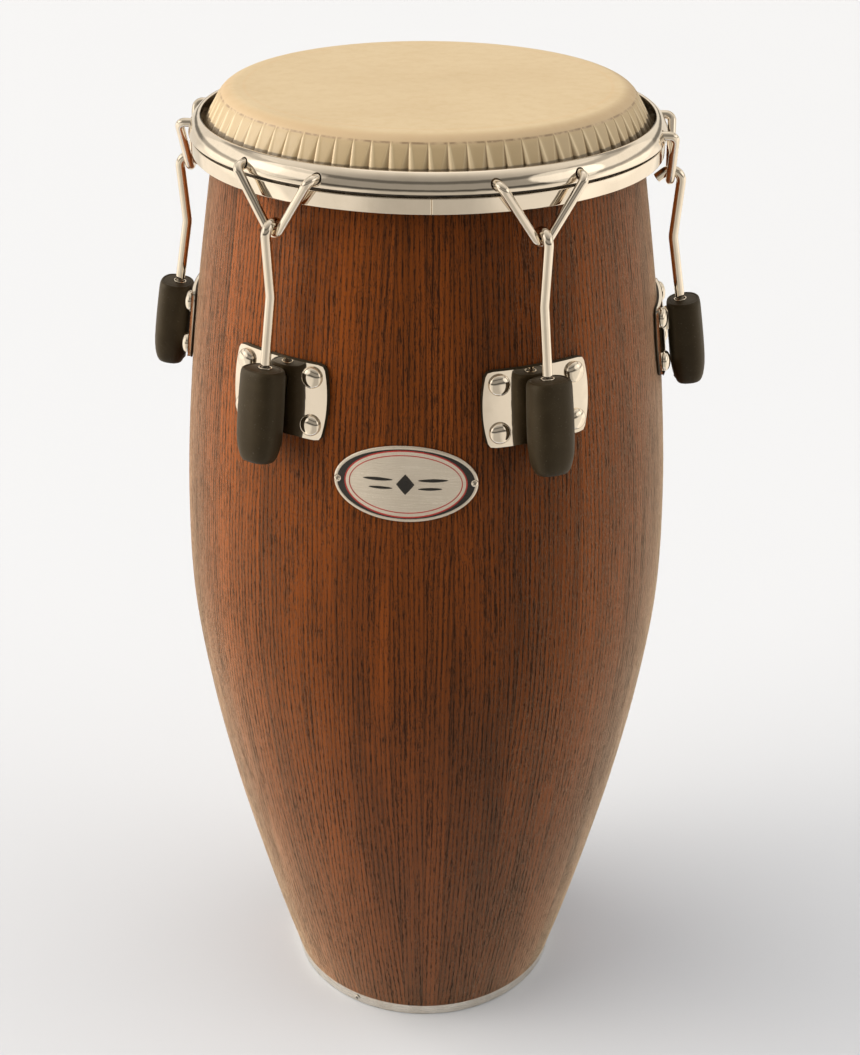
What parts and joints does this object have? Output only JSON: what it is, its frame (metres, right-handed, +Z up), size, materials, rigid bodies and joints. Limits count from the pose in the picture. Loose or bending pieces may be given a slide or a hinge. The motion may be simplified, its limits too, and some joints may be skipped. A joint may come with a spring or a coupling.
{
  "type": "conga drum",
  "caption": "Tall barrel drum of stained wooden staves, with a rounded synthetic head held by a steel crown, hook rods and rubber-covered lugs.",
  "frame": {"origin": "on the floor, under the middle of the drum", "axes": "+Z up along the drum's axis; -Y is the side with the badge"},
  "size_m": [0.4146, 0.3816, 0.762],
  "materials": {
    "stained_ash": "reddish brown stain on open-pored ash staves, satin lacquer",
    "head_film": "tan synthetic skin, matt, with pleats round the collar",
    "chrome": "polished plating",
    "plain_steel": "plain zinc-plated steel",
    "badge_nickel": "satin nickel with printed border lines",
    "black_rubber": "black moulded rubber, matt"
  },
  "bodies": {
    "drum_body": {"shell": "stained_ash", "base_band": "plain_steel", "base_band_screw_1": "plain_steel", "base_band_screw_2": "plain_steel", "base_band_screw_3": "plain_steel", "badge": "badge_nickel", "badge_pin_left": "badge_nickel", "badge_pin_right": "badge_nickel", "side_plate_1": "chrome", "side_plate_2": "chrome", "side_plate_3": "chrome", "side_plate_4": "chrome", "side_plate_5": "chrome", "side_plate_6": "chrome", "plate_gasket_1": "black_rubber", "plate_gasket_2": "black_rubber", "plate_gasket_3": "black_rubber", "plate_gasket_4": "black_rubber", "plate_gasket_5": "black_rubber", "plate_gasket_6": "black_rubber", "plate_bolts_1": "chrome", "plate_bolts_2": "chrome", "plate_bolts_3": "chrome", "plate_bolts_4": "chrome", "plate_bolts_5": "chrome", "plate_bolts_6": "chrome", "lug_sleeve_1": "black_rubber", "lug_sleeve_2": "black_rubber", "lug_sleeve_3": "black_rubber", "lug_sleeve_4": "black_rubber", "lug_sleeve_5": "black_rubber", "lug_sleeve_6": "black_rubber"},
    "crown_set": {"crown": "chrome", "flesh_hoop": "chrome", "drum_head": "head_film"},
    "v_loop_1_body": {"v_loop_1": "chrome"},
    "hook_rod_1_body": {"hook_rod_1": "chrome"},
    "tuning_nut_1_body": {"tuning_nut_1": "plain_steel"},
    "v_loop_2_body": {"v_loop_2": "chrome"},
    "hook_rod_2_body": {"hook_rod_2": "chrome"},
    "tuning_nut_2_body": {"tuning_nut_2": "plain_steel"},
    "v_loop_3_body": {"v_loop_3": "chrome"},
    "hook_rod_3_body": {"hook_rod_3": "chrome"},
    "tuning_nut_3_body": {"tuning_nut_3": "plain_steel"},
    "v_loop_4_body": {"v_loop_4": "chrome"},
    "hook_rod_4_body": {"hook_rod_4": "chrome"},
    "tuning_nut_4_body": {"tuning_nut_4": "plain_steel"},
    "v_loop_5_body": {"v_loop_5": "chrome"},
    "hook_rod_5_body": {"hook_rod_5": "chrome"},
    "tuning_nut_5_body": {"tuning_nut_5": "plain_steel"},
    "v_loop_6_body": {"v_loop_6": "chrome"},
    "hook_rod_6_body": {"hook_rod_6": "chrome"},
    "tuning_nut_6_body": {"tuning_nut_6": "plain_steel"}
  },
  "joints": [
    {"name": "crown_lift", "type": "slide", "parent": "drum_body", "child": "crown_set", "axis": [0, 0, 1], "range_m": [0, 0.02]},
    {"name": "v_loop_swing_1", "type": "hinge", "parent": "crown_set", "child": "v_loop_1_body", "pos_m": [-0.0943, -0.13467, 0.7366], "axis": [0.8192, -0.5736, 0], "range_deg": [0, 5.5]},
    {"name": "rod_slide_1", "type": "slide", "parent": "drum_body", "child": "hook_rod_1_body", "axis": [0.1026, 0.1465, 0.9839], "range_m": [0, 0.0205]},
    {"name": "nut_spin_1", "type": "hinge", "parent": "drum_body", "child": "tuning_nut_1_body", "pos_m": [-0.10657, -0.1522, 0.6097], "axis": [-0.1026, -0.1465, -0.9839], "range_deg": [0, 5900]},
    {"name": "v_loop_swing_2", "type": "hinge", "parent": "crown_set", "child": "v_loop_2_body", "pos_m": [0.06948, -0.149, 0.7366], "axis": [0.9063, 0.4226, 0], "range_deg": [0, 5.5]},
    {"name": "rod_slide_2", "type": "slide", "parent": "drum_body", "child": "hook_rod_2_body", "axis": [-0.0756, 0.1621, 0.9839], "range_m": [0, 0.0205]},
    {"name": "nut_spin_2", "type": "hinge", "parent": "drum_body", "child": "tuning_nut_2_body", "pos_m": [0.07852, -0.16839, 0.6097], "axis": [0.0756, -0.1621, -0.9839], "range_deg": [0, 5900]},
    {"name": "v_loop_swing_3", "type": "hinge", "parent": "crown_set", "child": "v_loop_3_body", "pos_m": [0.16377, -0.01433, 0.7366], "axis": [0.0872, 0.9962, 0], "range_deg": [0, 5.5]},
    {"name": "rod_slide_3", "type": "slide", "parent": "drum_body", "child": "hook_rod_3_body", "axis": [-0.1781, 0.0156, 0.9839], "range_m": [0, 0.0205]},
    {"name": "nut_spin_3", "type": "hinge", "parent": "drum_body", "child": "tuning_nut_3_body", "pos_m": [0.18509, -0.01619, 0.6097], "axis": [0.1781, -0.0156, -0.9839], "range_deg": [0, 5900]},
    {"name": "v_loop_swing_4", "type": "hinge", "parent": "crown_set", "child": "v_loop_4_body", "pos_m": [0.0943, 0.13467, 0.7366], "axis": [-0.8192, 0.5736, 0], "range_deg": [0, 5.5]},
    {"name": "rod_slide_4", "type": "slide", "parent": "drum_body", "child": "hook_rod_4_body", "axis": [-0.1026, -0.1465, 0.9839], "range_m": [0, 0.0205]},
    {"name": "nut_spin_4", "type": "hinge", "parent": "drum_body", "child": "tuning_nut_4_body", "pos_m": [0.10657, 0.1522, 0.6097], "axis": [0.1026, 0.1465, -0.9839], "range_deg": [0, 5900]},
    {"name": "v_loop_swing_5", "type": "hinge", "parent": "crown_set", "child": "v_loop_5_body", "pos_m": [-0.06948, 0.149, 0.7366], "axis": [-0.9063, -0.4226, 0], "range_deg": [0, 5.5]},
    {"name": "rod_slide_5", "type": "slide", "parent": "drum_body", "child": "hook_rod_5_body", "axis": [0.0756, -0.1621, 0.9839], "range_m": [0, 0.0205]},
    {"name": "nut_spin_5", "type": "hinge", "parent": "drum_body", "child": "tuning_nut_5_body", "pos_m": [-0.07852, 0.16839, 0.6097], "axis": [-0.0756, 0.1621, -0.9839], "range_deg": [0, 5900]},
    {"name": "v_loop_swing_6", "type": "hinge", "parent": "crown_set", "child": "v_loop_6_body", "pos_m": [-0.16377, 0.01433, 0.7366], "axis": [-0.0872, -0.9962, 0], "range_deg": [0, 5.5]},
    {"name": "rod_slide_6", "type": "slide", "parent": "drum_body", "child": "hook_rod_6_body", "axis": [0.1781, -0.0156, 0.9839], "range_m": [0, 0.0205]},
    {"name": "nut_spin_6", "type": "hinge", "parent": "drum_body", "child": "tuning_nut_6_body", "pos_m": [-0.18509, 0.01619, 0.6097], "axis": [-0.1781, 0.0156, -0.9839], "range_deg": [0, 5900]}
  ],
  "couplings": [
    {"joint": "v_loop_swing_1", "follows": "crown_lift", "rad_per_m": 4.7081},
    {"joint": "rod_slide_1", "follows": "crown_lift", "ratio": 1.0164},
    {"joint": "nut_spin_1", "follows": "crown_lift", "rad_per_m": 5108.9},
    {"joint": "v_loop_swing_2", "follows": "crown_lift", "rad_per_m": 4.7081},
    {"joint": "rod_slide_2", "follows": "crown_lift", "ratio": 1.0164},
    {"joint": "nut_spin_2", "follows": "crown_lift", "rad_per_m": 5108.9},
    {"joint": "v_loop_swing_3", "follows": "crown_lift", "rad_per_m": 4.7081},
    {"joint": "rod_slide_3", "follows": "crown_lift", "ratio": 1.0164},
    {"joint": "nut_spin_3", "follows": "crown_lift", "rad_per_m": 5108.9},
    {"joint": "v_loop_swing_4", "follows": "crown_lift", "rad_per_m": 4.7081},
    {"joint": "rod_slide_4", "follows": "crown_lift", "ratio": 1.0164},
    {"joint": "nut_spin_4", "follows": "crown_lift", "rad_per_m": 5108.9},
    {"joint": "v_loop_swing_5", "follows": "crown_lift", "rad_per_m": 4.7081},
    {"joint": "rod_slide_5", "follows": "crown_lift", "ratio": 1.0164},
    {"joint": "nut_spin_5", "follows": "crown_lift", "rad_per_m": 5108.9},
    {"joint": "v_loop_swing_6", "follows": "crown_lift", "rad_per_m": 4.7081},
    {"joint": "rod_slide_6", "follows": "crown_lift", "ratio": 1.0164},
    {"joint": "nut_spin_6", "follows": "crown_lift", "rad_per_m": 5108.9}
  ]
}
